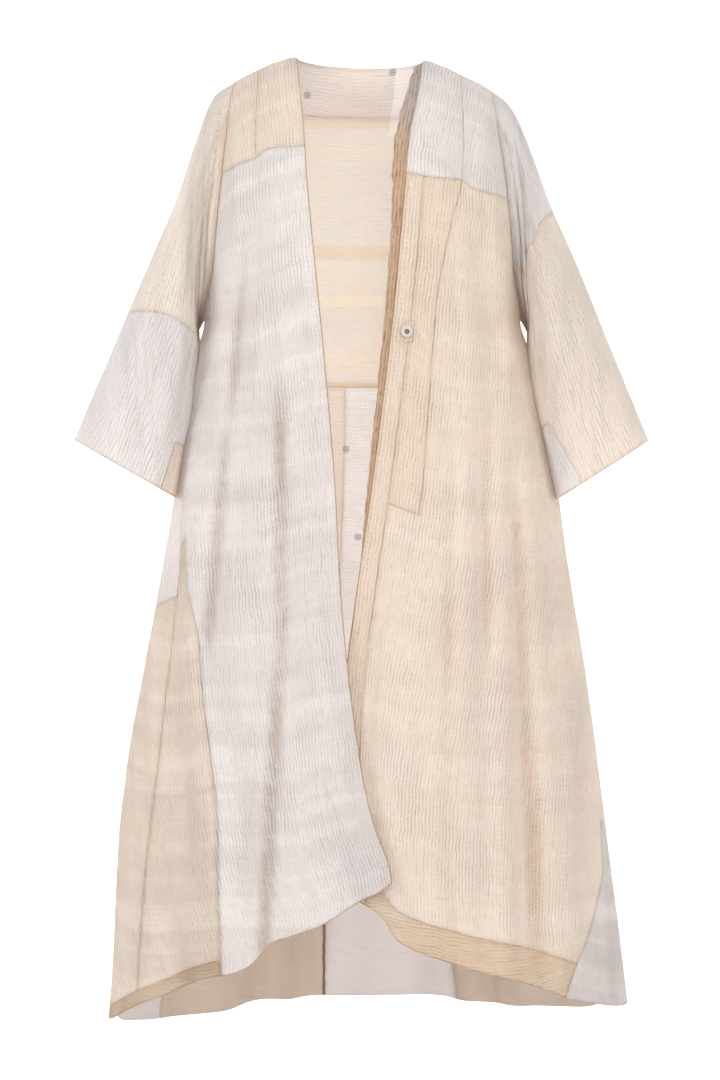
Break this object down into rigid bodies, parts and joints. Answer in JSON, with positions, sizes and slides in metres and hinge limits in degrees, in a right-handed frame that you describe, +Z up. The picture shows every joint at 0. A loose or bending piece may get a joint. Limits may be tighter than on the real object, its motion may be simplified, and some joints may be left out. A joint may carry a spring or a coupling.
{
  "type": "kimono coat",
  "caption": "Maxi-length open kimono coat of quilted patchwork cotton in its worn hollow form, with wide sleeves, a hem cut higher at the front and one snap at the front edge.",
  "frame": {"origin": "midway between the two neck points, at the top of the shoulders, where the wearer holds the coat up", "axes": "+Z up, front of the coat towards -Y, +X to the right as the front is looked at, which is the wearer's left"},
  "size_m": [0.7551, 0.4503, 1.3037],
  "materials": {
    "white_cotton": "hand-quilted cotton, soft white, matt, rows of running stitch",
    "cream_cotton": "hand-quilted cotton, pale cream, matt, rows of running stitch",
    "tan_cotton": "hand-quilted cotton, darker cream where the stitching is dense",
    "greige_cotton": "hand-quilted cotton, grey-beige, with sparse small printed rosettes",
    "snap_pale": "pale thread sewn round the snap",
    "snap_brass": "aged dark brass press snap"
  },
  "bodies": {
    "root": {"right_yoke_neck": "cream_cotton", "right_yoke_shoulder": "cream_cotton", "right_front_panel": "white_cotton", "right_side_strip": "white_cotton", "right_side_gore": "cream_cotton", "right_side_piece": "cream_cotton", "right_hem_band": "tan_cotton", "left_yoke_neck": "white_cotton", "left_yoke_shoulder": "white_cotton", "left_front_edge": "tan_cotton", "left_front_band": "tan_cotton", "left_front_panel": "cream_cotton", "left_side_gore": "white_cotton", "left_hem_band": "tan_cotton", "back_neck": "greige_cotton", "back_upper": "cream_cotton", "back_side_panel": "white_cotton", "back_right_panel": "greige_cotton", "back_middle_panel": "white_cotton", "back_left_panel": "greige_cotton", "right_sleeve_upper": "cream_cotton", "right_sleeve_lower": "white_cotton", "right_sleeve_wedge": "cream_cotton", "left_sleeve_cap": "white_cotton", "left_sleeve_lower": "cream_cotton", "left_sleeve_wedge": "white_cotton", "snap_patch": "tan_cotton", "snap_disc": "snap_pale", "snap_post": "snap_brass", "snap_socket": "snap_brass"}
  },
  "joints": []
}
